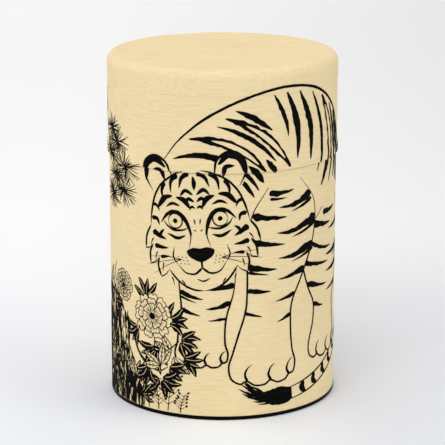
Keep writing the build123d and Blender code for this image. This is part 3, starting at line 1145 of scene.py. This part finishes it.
def ink_material():
    """Printed black ink, thin enough for the paper's streaks to show in its sheen."""
    n = Nodes("printed_ink")
    streaks = n.noise(unrolled(n, 14), 1100, detail=4, roughness=0.6)
    tone = n.mix(n.ramp(streaks, 0.45, 0.75), *INK)
    rough = n.spread(streaks, 0.6, 0.8)
    bump = n.bump(streaks, 0.0001, 0.4)
    return n.finish(Base_Color=tone, Roughness=rough, Normal=bump, Specular_IOR_Level=0.03)


def rolled_tin(n):
    """Tinplate's colour, roughness and bump: rolling lines and a faint spangle."""
    lines = n.noise(unrolled(n, 0.06), 240, detail=4, roughness=0.7)
    spangle = n.noise(n.place(), 140, detail=2)
    tone = n.mix(n.ramp(spangle, 0.35, 0.7), *TIN)
    tone = n.mix(n.ramp(lines, 0.35, 0.65), n.mix(0.12, tone, TIN_LINE), tone)
    rough = n.plus(n.times(lines, 0.2), n.times(spangle, 0.12))
    return tone, n.plus(rough, 0.1), n.bump(lines, 0.00006, 0.5)


def tinplate():
    """Bare tinplate."""
    n = Nodes("tinplate")
    tone, rough, bump = rolled_tin(n)
    return n.finish(Base_Color=tone, Metallic=1, Roughness=rough, Normal=bump)


def black_base():
    """Black lacquer outside, bare tin on the side that holds the tea."""
    n = Nodes("black_lacquer")
    tone, rough, bump = rolled_tin(n)
    floor_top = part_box("base_cap")[1].z - 0.12 * MM
    bare = n.math("GREATER_THAN", n.axes()[2], floor_top)
    wear = n.noise(n.place(), 900)
    black = n.mix(n.ramp(wear, 0.4, 0.8), *LACQUER)
    rough = n.add("Mix", {"data_type": "FLOAT"}, Factor=bare, i2=n.spread(wear, 0.3, 0.48), i3=rough)
    n.finish(Base_Color=n.mix(bare, black, tone), Metallic=bare)
    return n.finish(Roughness=rough, Normal=bump, Specular_IOR_Level=0.04)


def turned_aluminium():
    """Lathe-turned aluminium: fine rings about the axis."""
    n = Nodes("turned_aluminium")
    x, y, z = n.axes()
    rings = n.noise(n.vector(n.reach(x, y), 0, z), 4200, detail=2)
    tone = n.mix(rings, *ALUMINIUM)
    bump = n.bump(rings, 0.00003, 0.5)
    return n.finish(Base_Color=tone, Metallic=1, Roughness=n.spread(rings, 0.2, 0.4), Normal=bump)


# The object -------------------


def dress(piece, material, body=None, node=None):
    """Gives a piece its material, and a new piece its body and the node it replaces."""
    piece.data.materials.clear()
    piece.data.materials.append(material)
    if body:
        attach(piece, body)
    if node:
        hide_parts(node)


def build_object():
    """The paper and the ink on it, and new materials for the tin inside."""
    round_paper = washi("washi_laid_round", unrolled)
    flat_paper = washi("washi_laid_flat", across_top)
    dress(make_body_paper(), round_paper, "body", "body_washi")
    dress(make_side_paper(), round_paper, "lid", "lid_side_washi")
    dress(make_top_paper(), flat_paper, "lid", "lid_top_washi")
    ink_black = ink_material()
    for piece, body in zip(make_ink(), ("body", "lid")):
        dress(piece, ink_black, body)
    tin, aluminium = tinplate(), turned_aluminium()
    for node in ("body_tube", "inner_sleeve", "lid_wall", "lid_cap", "inner_lid_pan"):
        dress(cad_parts[node], tin)
    for node in ("inner_lid_knob", "inner_lid_rivet"):
        dress(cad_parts[node], aluminium)
    dress(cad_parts["base_cap"], black_base())


# Studio, in metres ------------

FLOOR_HALF = 6
FLOOR_FRONT = -4
FLOOR_BACK = 3.2
SWEEP_BEND = 0.8
SWEEP_HEIGHT = 5
# The middle of the painted pool of light on the floor, just in front of the caddy.
PAINTED_LIGHT_SPOT = (0, -0.05, 0)
FAR_GLOW = 0.45
WORLD_LIGHT = 0.49
WORLD_SEEN = 0.9
CADDY_MIDDLE = (0, 0, 0.06)

# Name, place, target, width and height, and power in watts.
LIGHTS = (
    ("overhead", (-0.3, 0.9, 1.7), (0, 0.7, 0), (3, 2.6), 18),
    ("front", (-0.35, -1.2, 1.35), CADDY_MIDDLE, (1, 0.8), 7.5),
    ("left", (-1.2, -0.9, 0.7), CADDY_MIDDLE, (1.2, 1.2), 6.5),
    ("right", (1.3, -0.5, 0.6), CADDY_MIDDLE, (1, 1.2), 6.5),
)
CAMERA_PLACE = (0, -0.699, 0.238)
CAMERA_DOWN = 14.55
LENS = 174.6
SENSOR = 36

# Floor tones near the caddy and far off: the darker, bluer near tone is painted shade round the caddy.
FLOOR_NEAR_SHADED = (0.8, 0.82, 0.87, 1), (0.82, 0.84, 0.89, 1)
FLOOR_FAR = (0.92, 0.92, 0.92, 1), (0.94, 0.93, 0.925, 1)
# A painted shade that darkens the floor towards the right.
PAINTED_FLOOR_SHADE = (0.3, 0.3, 0.34, 1)
# A painted pool of light on the floor just in front of the caddy, set against its shadow.
PAINTED_FLOOR_LIGHT = (0.92, 0.93, 0.945, 1)


def make_floor():
    """A pale sweep: a wide floor that curves up into a backdrop."""
    start = FLOOR_BACK - SWEEP_BEND
    curve = arc(start, SWEEP_BEND, SWEEP_BEND, -90, 0, 17)
    outline = [(FLOOR_FRONT, 0), (start, 0), *curve, (FLOOR_BACK, SWEEP_HEIGHT)]
    verts = [(side * FLOOR_HALF, y, z) for y, z in outline for side in (-1, 1)]
    faces = [(2 * k, 2 * k + 1, 2 * k + 3, 2 * k + 2) for k in range(len(outline) - 1)]
    mesh = smooth_mesh("sweep", verts, faces)
    mesh.materials.append(floor_material())
    add_object("sweep", mesh)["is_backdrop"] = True


def floor_material():
    """Pale card with painted shade near the caddy and to the right, and a painted pool of light just in
    front of its foot. Its glow far away is for the camera alone.
    """
    n = Nodes("pale_floor")
    x, y = n.axes()[:2]
    grain = n.noise(n.place(), 6)
    # Painted shade: the floor is darker near the caddy and lighter beyond.
    tone = n.mix(n.soft_ramp(y, -0.05, 0.25), n.mix(grain, *FLOOR_NEAR_SHADED), n.mix(grain, *FLOOR_FAR))
    # Painted shade: the floor darkens towards the right.
    tone = n.mix(n.ramp(x, -0.08, 0.16), tone, n.mix(0.18, tone, PAINTED_FLOOR_SHADE))
    # Painted light: a brighter patch on the floor just in front of the caddy's foot.
    foot = n.add("VectorMath", {"operation": "DISTANCE"}, i0=n.place(), i1=PAINTED_LIGHT_SPOT)
    tone = n.mix(n.soft_ramp(foot.outputs["Value"], 0.06, 0), tone, PAINTED_FLOOR_LIGHT)
    seen = n.add("LightPath").outputs["Is Camera Ray"]
    glow = n.times(n.soft_ramp(n.reach(x, y), 0.35, 3), n.times(seen, FAR_GLOW))
    n.finish(Base_Color=tone, Roughness=0.85, Specular_IOR_Level=0.2)
    return n.finish(Emission_Color=(1, 1, 1, 1), Emission_Strength=glow)


def studio_world():
    """Soft white light from all round, as pale as the far floor where it is seen."""
    n = Nodes("studio", bpy.data.worlds, "Background")
    seen = n.add("LightPath").outputs["Is Camera Ray"]
    return n.finish(Color=(1, 1, 1, 1), Strength=n.spread(seen, WORLD_LIGHT, WORLD_SEEN))


def area_light(name, place, target, size, power):
    """A rectangular lamp that faces its target."""
    light = bpy.data.lights.new(name, "AREA")
    light.shape = "RECTANGLE"
    light.size, light.size_y = size
    light.energy = power
    lamp = add_object(name, light)
    lamp.location = place
    lamp.rotation_euler = (Vector(target) - Vector(place)).to_track_quat("-Z", "Y").to_euler()


def make_studio():
    """The floor, the lamps and the world, with colours shown as they are."""
    make_floor()
    for light in LIGHTS:
        area_light(*light)
    scene.world = studio_world()
    scene.view_settings.view_transform = "Standard"


def make_camera():
    """A long lens at a table's distance, looking slightly down."""
    camera = bpy.data.cameras.new("camera")
    camera.lens = LENS
    camera.sensor_width = SENSOR
    camera.clip_end = 20
    holder = add_object("camera", camera)
    holder.location = CAMERA_PLACE
    holder.rotation_euler = (math.radians(90 - CAMERA_DOWN), 0, 0)
    scene.camera = holder


tiger()
left_side()
back_side()
build_object()
make_studio()
make_camera()

boxes = {"cad": CAD_BOX, "visual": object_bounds()}
{name: [list(corner) for corner in box] for name, box in boxes.items()}
